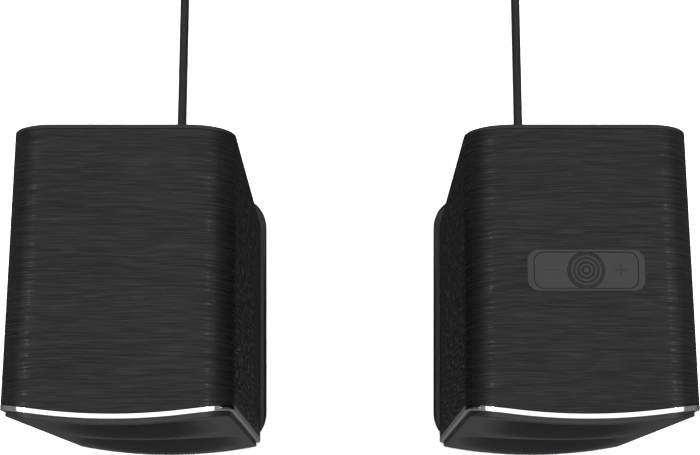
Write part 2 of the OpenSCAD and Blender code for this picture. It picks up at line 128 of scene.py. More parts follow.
fill = bpy.data.objects.new("fill", bpy.data.lights.new("fill", "SUN"))
fill.data.energy = 5
fill.data.angle = math.radians(20)
fill.location = (0, 0, 2)
fill.visible_glossy = False
scene.collection.objects.link(fill)

world = bpy.data.worlds.new("studio")
world.use_nodes = True
nodes, links = world.node_tree.nodes, world.node_tree.links
direction = nodes.new("ShaderNodeSeparateXYZ")
links.new(nodes.new("ShaderNodeTexCoord").outputs["Generated"], direction.inputs["Vector"])


def world_range(axis, start, end, low=0, high=1):
    """A level that goes from low to high between two values of the direction's axis"""
    node = nodes.new("ShaderNodeMapRange")
    for name, value in (("From Min", start), ("From Max", end), ("To Min", low), ("To Max", high)):
        node.inputs[name].default_value = value
    links.new(direction.outputs[axis], node.inputs["Value"])
    return node.outputs["Result"]


def world_math(operation, a, b):
    node = nodes.new("ShaderNodeMath")
    node.operation = operation
    links.new(a, node.inputs[0])
    links.new(b, node.inputs[1])
    return node.outputs["Value"]


# What the glossy parts mirror: grey all round, lighter ahead of and below them, and straight below
ahead = world_math("MULTIPLY", world_range("Y", 0.02, -0.35, 0, 0.18), world_range("Z", -0.55, -0.8))
around = world_range("Z", -0.9, -0.4, 0.04, 0.20)
below = world_range("Z", -0.97, -0.995, 0, 0.05)
level = world_math("ADD", world_math("ADD", ahead, around), below)
links.new(level, nodes["Background"].inputs["Color"])
scene.world = world


# ---------------------------------------------------------------- materials

def grey(value):
    return (value, value, value, 1)


class Finish:
    """A Principled material and the few steps that every finish here is made of"""

    def __init__(self, name, metallic=0.0, specular=0.5, coat=0.0, sheen=0.0):
        self.material = bpy.data.materials.new(name)
        self.material.use_nodes = True
        self.nodes = self.material.node_tree.nodes
        self.links = self.material.node_tree.links
        self.shader = self.nodes["Principled BSDF"]
        self.shader.inputs["Metallic"].default_value = metallic
        self.shader.inputs["Specular IOR Level"].default_value = specular
        self.shader.inputs["Coat Weight"].default_value = coat
        self.shader.inputs["Sheen Weight"].default_value = sheen
        self.height = None

    def coords(self, scale=(1, 1, 1), attribute=None):
        """Coordinates in metres times scale, of the object or from a mesh attribute"""
        if attribute:
            source = self.nodes.new("ShaderNodeAttribute")
            source.attribute_name = attribute
            out = source.outputs["Vector"]
        else:
            out = self.nodes.new("ShaderNodeTexCoord").outputs["Object"]
        mapping = self.nodes.new("ShaderNodeMapping")
        mapping.inputs["Scale"].default_value = scale
        self.links.new(out, mapping.inputs["Vector"])
        return mapping.outputs["Vector"]

    def noise(self, coords, size, detail=2.0, rough=0.5, distortion=0.0):
        """Noise whose blobs are size across, where coords are in metres"""
        node = self.nodes.new("ShaderNodeTexNoise")
        node.inputs["Scale"].default_value = 1 / size
        node.inputs["Detail"].default_value = detail
        node.inputs["Roughness"].default_value = rough
        node.inputs["Distortion"].default_value = distortion
        self.links.new(coords, node.inputs["Vector"])
        return node.outputs["Fac"]

    def sharpen(self, source, low, high):
        """Stretches the values between low and high to 0 to 1"""
        node = self.nodes.new("ShaderNodeMapRange")
        node.inputs["From Min"].default_value = low
        node.inputs["From Max"].default_value = high
        self.links.new(source, node.inputs["Value"])
        return node.outputs["Result"]

    def math(self, operation, a, b):
        node = self.nodes.new("ShaderNodeMath")
        node.operation = operation
        for socket, value in zip(node.inputs, (a, b)):
            if isinstance(value, (int, float)):
                socket.default_value = value
            else:
                self.links.new(value, socket)
        return node.outputs["Value"]

    def colour(self, factor, dark, light):
        ramp = self.nodes.new("ShaderNodeValToRGB")
        ramp.color_ramp.elements[0].color = dark
        ramp.color_ramp.elements[1].color = light
        self.links.new(factor, ramp.inputs["Fac"])
        self.links.new(ramp.outputs["Color"], self.shader.inputs["Base Color"])

    def roughness(self, factor, low, high):
        node = self.nodes.new("ShaderNodeMapRange")
        node.inputs["To Min"].default_value = low
        node.inputs["To Max"].default_value = high
        self.links.new(factor, node.inputs["Value"])
        self.links.new(node.outputs["Result"], self.shader.inputs["Roughness"])

    def bump(self, height, depth, strength=1.0):
        """Adds relief of the given depth in metres to what is there already"""
        node = self.nodes.new("ShaderNodeBump")
        node.inputs["Strength"].default_value = strength
        node.inputs["Distance"].default_value = depth
        self.links.new(height, node.inputs["Height"])
        if self.height:
            self.links.new(self.height, node.inputs["Normal"])
        self.height = node.outputs["Normal"]
        self.links.new(self.height, self.shader.inputs["Normal"])


def moulded(name, dark, light, grain=0.0004, rough=(0.35, 0.45), depth=0.00002, **kind):
    """Moulded, painted or rubbery finishes: a fine skin, with slow changes in tone"""
    f = Finish(name, **kind)
    where = f.coords()
    fine = f.noise(where, grain)
    slow = f.noise(where, 0.03, detail=3)
    f.colour(f.math("ADD", f.math("MULTIPLY", fine, 0.4), f.math("MULTIPLY", slow, 0.6)), dark, light)
    f.roughness(slow, *rough)
    f.bump(fine, depth)
    return f.material


def veneer():
    """Black-stained open-grain veneer: the grain runs round the cabinet, across the top"""
    f = Finish("black_wood", specular=0.22)
    waves = f.noise(f.coords((6, 12, 1), "grain"), 0.25, detail=1)
    bent = f.nodes.new("ShaderNodeVectorMath")
    bent.operation = "ADD"
    shift = f.nodes.new("ShaderNodeCombineXYZ")
    f.links.new(f.math("MULTIPLY", waves, 0.003), shift.inputs["Y"])
    f.links.new(f.coords((1, 1, 1), "grain"), bent.inputs[0])
    f.links.new(shift.outputs["Vector"], bent.inputs[1])

    def along(length, width):
        mapping = f.nodes.new("ShaderNodeMapping")
        mapping.inputs["Scale"].default_value = (1 / length, 1 / width, 1)
        f.links.new(bent.outputs["Vector"], mapping.inputs["Vector"])
        return mapping.outputs["Vector"]

    pores = f.sharpen(f.noise(along(0.016, 0.00055), 1, detail=3, rough=0.6), 0.3, 0.7)
    rays = f.sharpen(f.noise(along(0.05, 0.0012), 1, detail=3, rough=0.65), 0.3, 0.7)
    bands = f.noise(along(0.12, 0.012), 1, detail=2)
    figure = f.math("ADD", f.math("MULTIPLY", pores, 0.45), f.math("MULTIPLY", rays, 0.35))
    figure = f.math("ADD", figure, f.math("MULTIPLY", bands, 0.2))
    f.colour(f.sharpen(figure, 0.3, 0.75), grey(0.0010), grey(0.0080))
    f.roughness(f.sharpen(pores, 0.55, 0.8), 0.48, 0.10)
    f.bump(pores, 0.00003)
    return f.material


def chrome():
    f = Finish("chrome_trim", metallic=1.0)
    where = f.coords()
    haze = f.noise(where, 0.004, detail=3)
    f.colour(haze, grey(0.84), grey(0.90))
    f.roughness(haze, 0.07, 0.12)
    f.bump(f.noise(where, 0.0006), 0.000001)
    return f.material


def pulp():
    """Felted black paper of a driver's cone"""
    f = Finish("cone_paper", specular=0.3, sheen=0.1)
    where = f.coords()
    fibres = f.noise(where, 0.0009, detail=4, rough=0.7, distortion=1.5)
    f.colour(fibres, grey(0.004), grey(0.022))
    f.roughness(fibres, 0.65, 0.85)
    f.bump(fibres, 0.00015)
    return f.material


def strap():
    """Woven strap: threads across and along"""
    f = Finish("tie_fabric", specular=0.3, sheen=0.3)
    where = f.coords()
    pitch = 0.0009
    weave = []
    for axis in "XYZ":
        wave = f.nodes.new("ShaderNodeTexWave")
        wave.bands_direction = axis
        wave.inputs["Scale"].default_value = 0.05 / pitch
        wave.inputs["Distortion"].default_value = 0.6
        f.links.new(where, wave.inputs["Vector"])
        weave.append(wave.outputs["Fac"])
    cloth = f.math("MULTIPLY", f.math("ADD", f.math("ADD", weave[0], weave[1]), weave[2]), 1 / 3)
    f.colour(cloth, grey(0.008), grey(0.045))
    f.roughness(cloth, 0.75, 0.9)
    f.bump(cloth, 0.0002)
    return f.material


def circuit():
    """Green solder mask over a pattern of copper blocks"""
    f = Finish("circuit_board", coat=0.3)
    cells = f.nodes.new("ShaderNodeTexVoronoi")
    cells.distance = "MANHATTAN"
    cells.inputs["Scale"].default_value = 260
    f.links.new(f.coords(), cells.inputs["Vector"])
    copper = f.sharpen(cells.outputs["Distance"], 0.35, 0.45)
    f.colour(copper, (0.016, 0.085, 0.042, 1), (0.008, 0.045, 0.024, 1))
    f.roughness(f.noise(f.coords(), 0.002), 0.35, 0.5)
    f.bump(copper, 0.00003)
    return f.material


def turned_steel(name, dark, light, rough):
    """Metal with fine tool marks"""
    f = Finish(name, metallic=1.0)
    marks = f.noise(f.coords((1, 1, 8)), 0.0012, detail=3, rough=0.6)
    f.colour(marks, dark, light)
    f.roughness(marks, *rough)
    f.bump(marks, 0.00001)
    return f.material


MATERIALS = {
    "black_wood": veneer(),
    "chrome_trim": chrome(),
    "front_plastic": moulded("front_plastic", grey(0.008), grey(0.013), 0.0003, (0.32, 0.38),
                             specular=0.3),
    "cover_plastic": moulded("cover_plastic", grey(0.006), grey(0.010), 0.0006, (0.45, 0.6), 0.00008,
                             specular=0.3),
    "base_metal": moulded("base_metal", grey(0.003), grey(0.006), 0.0005, (0.18, 0.24), 0.000004,
                          specular=0.25),
    "foot_rubber": moulded("foot_rubber", grey(0.008), grey(0.018), 0.0005, (0.8, 0.95), 0.00005,
                           specular=0.3),
    "screw_steel": turned_steel("screw_steel", grey(0.10), grey(0.24), (0.3, 0.45)),
    "frame_metal": moulded("frame_metal", grey(0.03), grey(0.05), 0.0005, (0.5, 0.6), 0.00003),
    "magnet_ferrite": moulded("magnet_ferrite", grey(0.02), grey(0.05), 0.0008, (0.7, 0.9), 0.0001),
    "cone_paper": pulp(),
    "surround_rubber": moulded("surround_rubber", grey(0.008), grey(0.016), 0.0006, (0.42, 0.55),
                               0.00002),
    "cap_gloss": moulded("cap_gloss", grey(0.012), grey(0.018), 0.001, (0.16, 0.24), 0.000002),
    "key_plastic": moulded("key_plastic", grey(0.014), grey(0.018), 0.0003, (0.4, 0.48), 0.00001,
                           specular=0.25),
    "button_gloss": moulded("button_gloss", grey(0.004), grey(0.008), 0.0005, (0.3, 0.4), 0.000005,
                            specular=0.2),
    "circuit_board": circuit(),
    "lead_jacket": moulded("lead_jacket", grey(0.003), grey(0.007), 0.0008, (0.4, 0.52), 0.00003,
                           specular=0.25),
    "tie_fabric": strap(),
    "plug_plastic": moulded("plug_plastic", grey(0.012), grey(0.022), 0.0005, (0.35, 0.45), 0.00002),
}
PLUG_METAL = turned_steel("plug_metal", grey(0.5), grey(0.7), (0.18, 0.3))

SLOTS = {row["node"]: row["material_slot"] for row in frame["record"]["subparts"]}
for node, obj in frame["nodes"].items():
    obj.data.materials.clear()
    obj.data.materials.append(MATERIALS[SLOTS[node]])


def floor_material():
    f = Finish("floor", specular=0.0)
    f.colour(f.noise(f.coords(), 0.4), grey(0.86), grey(0.88))
    f.roughness(f.noise(f.coords(), 0.4), 0.9, 0.95)
    return f.material


REACH = 12                            # metres from the middle of the floor to its edges
floor_mesh = bpy.data.meshes.new("floor")
floor_mesh.from_pydata([(x, y, 0) for x, y in ((-REACH, -REACH), (REACH, -REACH), (REACH, REACH),
                                               (-REACH, REACH))], [], [(0, 1, 2, 3)])
floor_mesh.materials.append(floor_material())
floor = bpy.data.objects.new("floor", floor_mesh)
floor.visible_glossy = False
scene.collection.objects.link(floor)


# ---------------------------------------------------------------- mesh helpers

def settle(mesh, smooth_angle=35):
    """Joins what touches, points every face outwards and smooths all but the sharp edges"""
    bm = bmesh.new()
    bm.from_mesh(mesh)
    bmesh.ops.remove_doubles(bm, verts=bm.verts, dist=1e-6)
    bmesh.ops.recalc_face_normals(bm, faces=bm.faces)
    bm.to_mesh(mesh)
    bm.free()
    mesh.shade_smooth()
    mesh.set_sharp_from_angle(angle=math.radians(smooth_angle))


def shape(name, side, points, faces, smooth_angle=35):
    """A closed mesh from millimetres about the right speaker's middle plane"""
    sign = SIDES[side]
    mesh = bpy.data.meshes.new(name)
    mesh.from_pydata([(sign * (SPEAKER_X + x) * MM, y * MM, z * MM) for x, y, z in points], [], faces)
    settle(mesh, smooth_angle)
    obj = bpy.data.objects.new(name, mesh)
    scene.collection.objects.link(obj)
    return obj


def cut(obj, tool):
    """Takes the tool's shape out of a piece"""
    step = obj.modifiers.new("cut", "BOOLEAN")
    step.operation = "DIFFERENCE"
    step.solver = "EXACT"
    step.object = tool
    bpy.context.view_layer.update()
    whole = obj.evaluated_get(bpy.context.evaluated_depsgraph_get())
    mesh = bpy.data.meshes.new_from_object(whole)
    obj.modifiers.clear()
    obj.data = mesh
    bpy.data.objects.remove(tool)
    settle(mesh)


def piece(obj, slot, body=ROOT, replaces=(), material=None):
    """Says what a finished piece is made of, what it rides on and what it stands for"""
    if not obj.data.materials:
        obj.data.materials.append(material or MATERIALS[slot])
    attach(obj, body)
    if replaces:
        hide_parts(*replaces)
    return obj


def skin(rings, loop=False, capped=False):
    """Points and faces of a surface through rings that all have the same number of points"""
    count = len(rings[0])
    points = [p for ring in rings for p in ring]
    faces = []
    for i in range(len(rings) if loop else len(rings) - 1):
        a, b = i * count, (i + 1) % len(rings) * count
        for k in range(count):
            m = (k + 1) % count
            faces.append((a + k, a + m, b + m, b + k))
    if capped:
        faces.append(tuple(range(count)))
        faces.append(tuple(range((len(rings) - 1) * count, len(rings) * count)))
    return points, faces


def between(a, b, steps):
    """Values from a up to, but without, b"""
    return [a + (b - a) * k / steps for k in range(steps)]


def outline(w, h, r, across=12, down=16, turn=12, low=None):
    """(u, v) points round a rectangle with round corners, from the right end of its top, clockwise.

    The two lower corners have the radius low, if it is given.
    """
    low = low or r
    corners = ((w / 2 - r, h / 2 - r, r, 90, down), (w / 2 - low, low - h / 2, low, 0, across),
               (low - w / 2, low - h / 2, low, -90, down), (r - w / 2, h / 2 - r, r, -180, across))
    points = []
    for k, (cu, cv, radius, start, steps) in enumerate(corners):
        for a in between(start, start - 90, turn):
            points.append((cu + radius * math.cos(math.radians(a)), cv + radius * math.sin(math.radians(a))))
        end = math.radians(start - 90)
        eu, ev = cu + radius * math.cos(end), cv + radius * math.sin(end)
        nu, nv, next_radius = corners[(k + 1) % 4][:3]
        nu, nv = nu + next_radius * math.cos(end), nv + next_radius * math.sin(end)
        points += [(eu + (nu - eu) * k / steps, ev + (nv - ev) * k / steps) for k in range(steps)]
    return points


def case_outline(w, h, inset, **steps):
    """The cabinet's outline, or one that lies inset from it: well rounded at the top only"""
    return outline(w, h, EDGE_R - inset, low=max(LOW_EDGE_R - inset, 0.5), **steps)


def turned(name, side, profile, centre, axis, steps=96, closed=True, smooth_angle=35):
    """A profile of (radius, distance along the axis) turned about that axis through centre"""
    cx, cy, cz = centre
    rings = []
    for r, d in profile:
        ring = []
        for k in range(steps):
            c = r * math.cos(2 * math.pi * k / steps)
            s = r * math.sin(2 * math.pi * k / steps)
            ring.append({"x": (cx + d, cy + c, cz + s), "y": (cx + c, cy + d, cz + s),
                         "z": (cx + c, cy + s, cz + d)}[axis])
        rings.append(ring)
    return shape(name, side, *skin(rings, loop=closed), smooth_angle)


def bulge(x, radius, foremost):
    """Front surface of an upright cylinder whose foremost line is at x = 0"""
    return foremost + radius - math.sqrt(radius ** 2 - x ** 2)


def rounded(depth, steps=4):
    """(inset, drop) pairs over a rounded edge, from the side to the top"""
    turn = [math.pi / 2 * k / steps for k in range(steps + 1)]
    return [(depth * (1 - math.cos(a)), depth * (1 - math.sin(a))) for a in turn]


# ---------------------------------------------------------------- leads

LEAD_R = 0.0025
# From the strain relief to the coil, and off the coil to the plug, in metres about the right speaker
RUN = [(-0.0025, 0.0713, 0.016), (-0.0025, 0.076, 0.0159), (-0.0025, 0.081, 0.0152),
       (-0.0025, 0.086, 0.0137), (-0.0025, 0.091, 0.0115), (-0.0025, 0.096, 0.0089),
       (-0.0025, 0.101, 0.0064), (-0.0025, 0.107, 0.0042), (-0.0025, 0.114, 0.0029),
       (-0.0025, 0.122, 0.0025), (-0.0025, 0.138, 0.0025), (-0.0025, 0.156, 0.0025),
       (-0.0025, 0.174, 0.0025), (-0.0025, 0.192, 0.0025), (-0.0025, 0.208, 0.0026),
       (-0.0025, 0.222, 0.0029)]
TAIL = [(-0.0172, 0.2677, 0.0082), (-0.0214, 0.2719, 0.0077), (-0.0254, 0.2759, 0.0062),
        (-0.0296, 0.2796, 0.0044), (-0.0346, 0.2828, 0.0031), (-0.0404, 0.2846, 0.0028),
        (-0.0465, 0.285, 0.0034), (-0.0545, 0.285, 0.0042)]
COIL_X, COIL_Y, COIL_R = -0.0385, 0.238, 0.036
COIL_PITCH = 0.0052
COIL_TURNS = 6.125
COIL_LOW_Z, COIL_HIGH_Z = 0.0031, 0.0082
STEPS_A_TURN = 24


def coil_points():
    """Two layers of turns: inwards on the floor, up over the last third of a turn, outwards on top"""
    half = COIL_TURNS / 2
    count = round(COIL_TURNS * STEPS_A_TURN)
    points = []
    for k in range(count + 1):
        turn = k / STEPS_A_TURN
        r = COIL_R - COIL_PITCH * min(turn, COIL_TURNS - turn)
        lift = min(max((turn - half + 1 / 3) * 3, 0), 1)
        a = 2 * math.pi * turn
        points.append((COIL_X + r * math.cos(a), COIL_Y + r * math.sin(a),
                       COIL_LOW_Z + (COIL_HIGH_Z - COIL_LOW_Z) * lift))
    return points


def smooth(points, steps):
    """A Catmull-Rom line through the points"""
    line = []
    for i in range(len(points) - 1):
        a, b, c, d = (Vector(points[min(max(j, 0), len(points) - 1)]) for j in range(i - 1, i + 3))
        for k in range(steps):
            t = k / steps
            line.append(0.5 * (2 * b + (c - a) * t + (2 * a - 5 * b + 4 * c - d) * t * t
                               + (3 * b - a - 3 * c + d) * t ** 3))
    return line + [Vector(points[-1])]


def lead(side):
    line = smooth(RUN + coil_points() + TAIL, 3)
    curve = bpy.data.curves.new(side + "_lead_cord", "CURVE")
    curve.dimensions = "3D"
    curve.bevel_depth = LEAD_R
    curve.bevel_resolution = 5
    curve.use_fill_caps = True
    spline = curve.splines.new("POLY")
    spline.points.add(len(line) - 1)
    for point, at in zip(spline.points, line):
        point.co = (SIDES[side] * (SPEAKER_X * MM + at.x), at.y, at.z, 1)
    spline.use_smooth = True
    obj = bpy.data.objects.new(side + "_lead_cord", curve)
    scene.collection.objects.link(obj)
    return piece(obj, "lead_jacket", replaces=(side + "_lead", side + "_lead_coil"))


def tie(side):
    """The strap round the coil, with its end folded back on top"""
    angle = math.radians(150)         # where on the coil it sits
    low, span = 16.4, 22.7            # its nearest to the coil's middle, and its length outwards from there
    width, height, thick = 8, 11.4, 0.5
    across = (math.cos(angle), math.sin(angle))
    rings = []
    for inset, edge in ((0, -1), (0, 1), (thick, 1), (thick, -1)):
        ring = []
        for u, v in outline(span - 2 * inset, height - 2 * inset, 2.6 - inset, 8, 4, 5):
            r = low + span / 2 + u
            t = edge * width / 2
            ring.append((COIL_X / MM + r * across[0] - t * across[1],
                         COIL_Y / MM + r * across[1] + t * across[0], height / 2 + v))
        rings.append(ring)
    band = shape(side + "_strap", side, *skin(rings, loop=True))
    piece(band, "tie_fabric", replaces=(side + "_lead_tie",))

    rings = []
    for r, w, z in ((low + 3.5, 3.2, height - 0.1), (low + 3.5, 3.2, height + 0.55),
                    (low + 15, 3.6, height + 0.65), (low + 18, 3.6, height + 0.1)):
        ring = []
        for u, v in ((r, -w), (r, w)):
            ring.append((COIL_X / MM + u * across[0] - v * across[1],
                         COIL_Y / MM + u * across[1] + v * across[0], z))
        rings.append(ring)
    points = [p for ring in rings for p in ring]
    faces = [(0, 1, 3, 2), (2, 3, 5, 4), (4, 5, 7, 6), (6, 7, 1, 0), (0, 2, 4, 6), (1, 7, 5, 3)]
    flap = shape(side + "_strap_end", side, points, faces)
    piece(flap, "tie_fabric")
    return [band, flap]


PLUG_X, PLUG_Y, PLUG_Z = -54.5, 285, 4.2      # where the lead goes into its plug


def lofted(name, side, sections):
    """A body along -X whose (distance, width, height, corner radius) sections are given"""
    rings = [[(PLUG_X - d, PLUG_Y + u, PLUG_Z + v) for u, v in outline(w, h, r, 4, 4, 6)]
             for d, w, h, r in sections]
    return shape(name, side, *skin(rings, capped=True))


def jack_plug(side):
    """A 3.5 mm plug: (radius, distance along -X) round its grip and its pin"""
    sleeve = [(0, -0.2), (2.6, -0.2)]
    for k in range(4):
        sleeve += [(2.7 + 0.08 * k, 1.6 * k + 0.4), (2.7 + 0.08 * k, 1.6 * k + 1.2),
                   (2.3 + 0.1 * k, 1.6 * k + 1.25), (2.3 + 0.1 * k, 1.6 * k + 1.95)]
    sleeve += [(3.1, 7.6), (4.0, 8.6), (4.2, 9.4), (4.2, 21.2), (4.0, 22), (3.3, 22.6), (3.2, 23),
               (0, 23)]
    grip = turned(side + "_plug_grip", side, [(r, -d) for r, d in sleeve],
                  (PLUG_X, PLUG_Y, PLUG_Z), "x", 48, closed=False)
    piece(grip, "plug_plastic", replaces=(side + "_plug",))
    pin = [(0, 22.8), (1.75, 22.8), (1.75, 28.2), (1.65, 28.3), (1.65, 28.7), (1.75, 28.8),
           (1.75, 31.6), (1.65, 31.7), (1.65, 32.1), (1.75, 32.2), (1.75, 33.2), (1.25, 34.1),
           (1.25, 34.5), (1.7, 35.2), (1.6, 36), (0.9, 37.2), (0.4, 37.4), (0, 37.4)]
    tip = turned(side + "_plug_pin", side, [(r, -d) for r, d in pin],
                 (PLUG_X, PLUG_Y, PLUG_Z), "x", 48, closed=False)
    piece(tip, "plug_plastic", material=PLUG_METAL)
    return [grip, tip]


def usb_plug(side):
    """A flat plug: a ribbed grip, a metal shell and the tongue in it"""
    sections = [(-0.2, 5.2, 5.2, 2.59)]
    for k in range(4):
        wide = 5.4 + 0.5 * k
        sections += [(0.3 + 1.9 * k, wide, 5.4, 2.6), (1.2 + 1.9 * k, wide, 5.4, 2.6),
                     (1.25 + 1.9 * k, wide - 0.8, 4.6, 2.2), (2.15 + 1.9 * k, wide - 0.6, 4.6, 2.2)]
    sections += [(8, 9, 6, 2.8), (9.5, 14, 8.0, 3.2), (11, 15.2, 8.4, 3.2), (13, 15.5, 8.4, 3.2),
                 (24, 15.5, 8.4, 3.2), (28.5, 15.1, 8.2, 3.0), (29.6, 14.4, 7.6, 2.6),
                 (30, 13.4, 6.8, 2.2)]
    grip = lofted(side + "_plug_grip", side, sections)
    piece(grip, "plug_plastic", replaces=(side + "_plug",))
    rings = []
    for d, inset in ((29.8, 0), (41.8, 0), (42, 0.15), (42, 0.4), (31, 0.4)):
        rings.append([(PLUG_X - d, PLUG_Y + u, PLUG_Z + v)
                      for u, v in outline(12 - 2 * inset, 4.5 - 2 * inset, 0.6 - inset, 4, 4, 4)])
    shell = shape(side + "_plug_shell", side, *skin(rings, capped=True))
    piece(shell, "plug_plastic", material=PLUG_METAL)
    rings = [[(PLUG_X - d, PLUG_Y + u, PLUG_Z + 1.0 + v) for u, v in outline(10.8, 1.7, 0.2, 4, 4, 3)]
             for d in (30.9, 41.2)]
    tongue = shape(side + "_plug_tongue", side, *skin(rings, capped=True))
    piece(tongue, "plug_plastic")
    return [grip, shell, tongue]


for side in SIDES:
    cord = lead(side)
    on_it = tie(side) + (jack_plug(side) if side == "left" else usb_plug(side))


# ---------------------------------------------------------------- cabinet

def case_x(x, y):
    """Where a point of the front outline comes at depth y, as the sides draw in to the rear"""
    run = (y - WOOD_FRONT_Y) / (REAR_Y - WOOD_FRONT_Y)
    return x * (1 + (REAR_W / FRONT_W - 1) * run)


def wood_front(x):
    return bulge(x, TRIM_R - TRIM_T, WOOD_FRONT_Y)


def case_ring(inset, y):
    return [(case_x(u, y), y, MID_Z + v)
            for u, v in case_outline(FRONT_W - 2 * inset, HEIGHT - 2 * inset, inset)]


def front_ring(inset, behind):
    """A ring that follows the bulge of the wood's front edge"""
    ring = []
    for u, v in case_outline(FRONT_W - 2 * inset, HEIGHT - 2 * inset, inset):
        y = wood_front(u) + behind
        ring.append((case_x(u, y), y, MID_Z + v))
    return ring


MOUTH = (REAR_W - 2 * WALL, HEIGHT - 2 * WALL)        # width and height inside the wood
WOOD_OPENING = (49.6, 17.4, 4.5)                      # for the keys: width, depth and corner radius


def mouth_ring(y=None):
    """The inner edge of the wood, at depth y or along its bulged front"""
    return [(u, wood_front(u) if y is None else y, MID_Z + v) for u, v in case_outline(*MOUTH, WALL)]


def girth(x, z, y):
    """How far round the cabinet a point is from the middle of its top, in millimetres"""
    half = case_x(FRONT_W / 2, y)
    sign = -1 if x < 0 else 1
    across, up = abs(x) - (half - EDGE_R), z - MID_Z
    rise, fall = HEIGHT / 2 - EDGE_R, HEIGHT / 2 - LOW_EDGE_R
    if up > rise:
        return x if across <= 0 else sign * (half - EDGE_R + EDGE_R * math.atan2(across, up - rise))
    side = half - EDGE_R + EDGE_R * math.pi / 2 + rise
    if up > -fall:
        return sign * (side - up)
    across = abs(x) - (half - LOW_EDGE_R)
    turn = math.atan2(-fall - up, across) if across > 0 else math.pi / 2
    return sign * (side + fall + LOW_EDGE_R * turn - min(across, 0))


def cabinet(side):
    """The wood case, with a grain attribute: (round the case, front to back, side) in metres"""
    chamfer = 0.35
    rings = [front_ring(chamfer, 0), front_ring(0, chamfer)]
    for y in between(-55, WOOD_REAR_Y - 0.2, 20):
        rings.append(case_ring(0, y))
    rings += [case_ring(0, WOOD_REAR_Y - 0.2), case_ring(0.2, WOOD_REAR_Y), mouth_ring(WOOD_REAR_Y),
              mouth_ring()]
    obj = shape(side + "_case", side, *skin(rings, loop=True), 40)
    if side == "right":
        hole = [[(BEZEL_X + u, BEZEL_Y + v, z) for u, v in outline(*WOOD_OPENING, 4, 4, 8)]
                for z in (TOP_Z - WALL - 2, TOP_Z + 2)]
        cut(obj, shape("hole", side, *skin(hole, capped=True)))
    grain = obj.data.attributes.new("grain", "FLOAT_VECTOR", "POINT")
    for vertex in obj.data.vertices:
        x, y, z = vertex.co / MM
        x = abs(x) - SPEAKER_X
        grain.data[vertex.index].vector = (girth(x, z, y) * MM, y * MM, SIDES[side])
    piece(obj, "black_wood", replaces=(side + "_cabinet",))


def trim(side):
    """The polished band: (distance in from the outside, share of the way back) round its section"""
    section = [(0, 1), (0, 0.16), (0.05, 0.06), (0.16, 0.015), (0.34, 0), (1.86, 0), (2.04, 0.015),
               (2.12, 0.06), (2.15, 0.16), (2.15, 1)]
    rings = []
    for inset, back in section:
        ring = []
        for u, v in case_outline(FRONT_W - 2 * inset, HEIGHT - 2 * inset, inset, across=24, turn=24):
            front = bulge(u, TRIM_R, WOOD_FRONT_Y - TRIM_T)
            ring.append((u, front + (wood_front(u) - front) * back, MID_Z + v))
        rings.append(ring)
    obj = shape(side + "_trim", side, *skin(rings, loop=True), 50)
    piece(obj, "chrome_trim", replaces=(side + "_front_trim",))


# ---------------------------------------------------------------- front panel

UPPER_Z, LOWER_Z = BASE_Z + 165.5, BASE_Z + 64
RIDGE_Z = BASE_Z + 121.2              # crest between the two dishes
FLOOR_Y, BACK_Y = -63, -60            # floor of the dishes and back of the panel
PANEL_W, PANEL_H = FRONT_W - 2 * TRIM_W, HEIGHT - 2 * TRIM_W
LIP = 0.3                             # rounding of the panel's own edge
PANEL_GAP = 0.2                       # gap round the part of the panel that sits in the wood
HOLES = {"upper": 24, "lower": 34}    # radii of the drivers' holes


def face(x):
    return bulge(x, FACE_R, FACE_Y)


def upper_rim(a):
    """Distance from the upper dish's middle to its edge, a rounded square, at angle a"""
    half_w, half_h, r = 42, 43, 20
    c, s = abs(math.cos(a)), abs(math.sin(a))
    reach = min(half_w / max(c, 1e-6), half_h / max(s, 1e-6))
    cu, cv = half_w - r, half_h - r
    if reach * c > cu and reach * s > cv:
        along = cu * c + cv * s
        reach = along + math.sqrt(along ** 2 - cu ** 2 - cv ** 2 + r ** 2)
    return reach


def lower_rim(a):
    """The lower dish's edge: two arcs, one moved up and one down"""
    r, rise = 45.5, 10
    s = abs(math.sin(a))
    along = rise * s
    reach = along + math.sqrt(along ** 2 - rise ** 2 + r ** 2)
    if reach * s < rise:
        reach = r / max(abs(math.cos(a)), 1e-6)
    return reach


# Middle height, radius of the flat floor, and edge
DISHES = {"upper": (UPPER_Z, 28, upper_rim), "lower": (LOWER_Z, 38, lower_rim)}


def panel_outline(w, h, inset):
    """The outline with stops where the ridge meets its two sides; inset is from the wood's outside"""
    r, low_r = EDGE_R - inset, max(LOW_EDGE_R - inset, 0.5)
    u, top, low = w / 2, h / 2 - r, low_r - h / 2
    ridge = RIDGE_Z - MID_Z

    def corner(cu, cv, radius, start):
        return [(cu + radius * math.cos(math.radians(a)), cv + radius * math.sin(math.radians(a)))
                for a in between(start, start - 90, 12)]

    points = [(x, h / 2) for x in between(-u + r, u - r, 24)]
    points += corner(u - r, top, r, 90)
    points += [(u, z) for z in between(top, ridge, 12)]
    right = len(points)
    points += [(u, z) for z in between(ridge, low, 16)] + corner(u - low_r, low, low_r, 0)
    points += [(x, -h / 2) for x in between(u - low_r, -u + low_r, 24)]
    points += corner(-u + low_r, low, low_r, -90)
    points += [(-u, z) for z in between(low, ridge, 16)]
    left = len(points)
    points += [(-u, z) for z in between(ridge, top, 12)] + corner(-u + r, top, r, -180)
    return points, right, left


def zone_edge(w, h, inset, upper):
    """The part of the outline round one dish, closed along the ridge"""
    points, right, left = panel_outline(w, h, inset)
    ridge = RIDGE_Z - MID_Z
    crest = [(x, ridge) for x in between(w / 2, -w / 2, 40)]
    if upper:
        return points[left:] + points[:right] + crest
    return points[right:left] + [(x, z) for x, z in reversed(crest[1:] + [(-w / 2, ridge)])]


def ease(t):
    """Smooth start, then a quicker run down to the dish's floor"""
    t = min(max(t, 0), 1)
    return t * t * (3 - 2 * t)


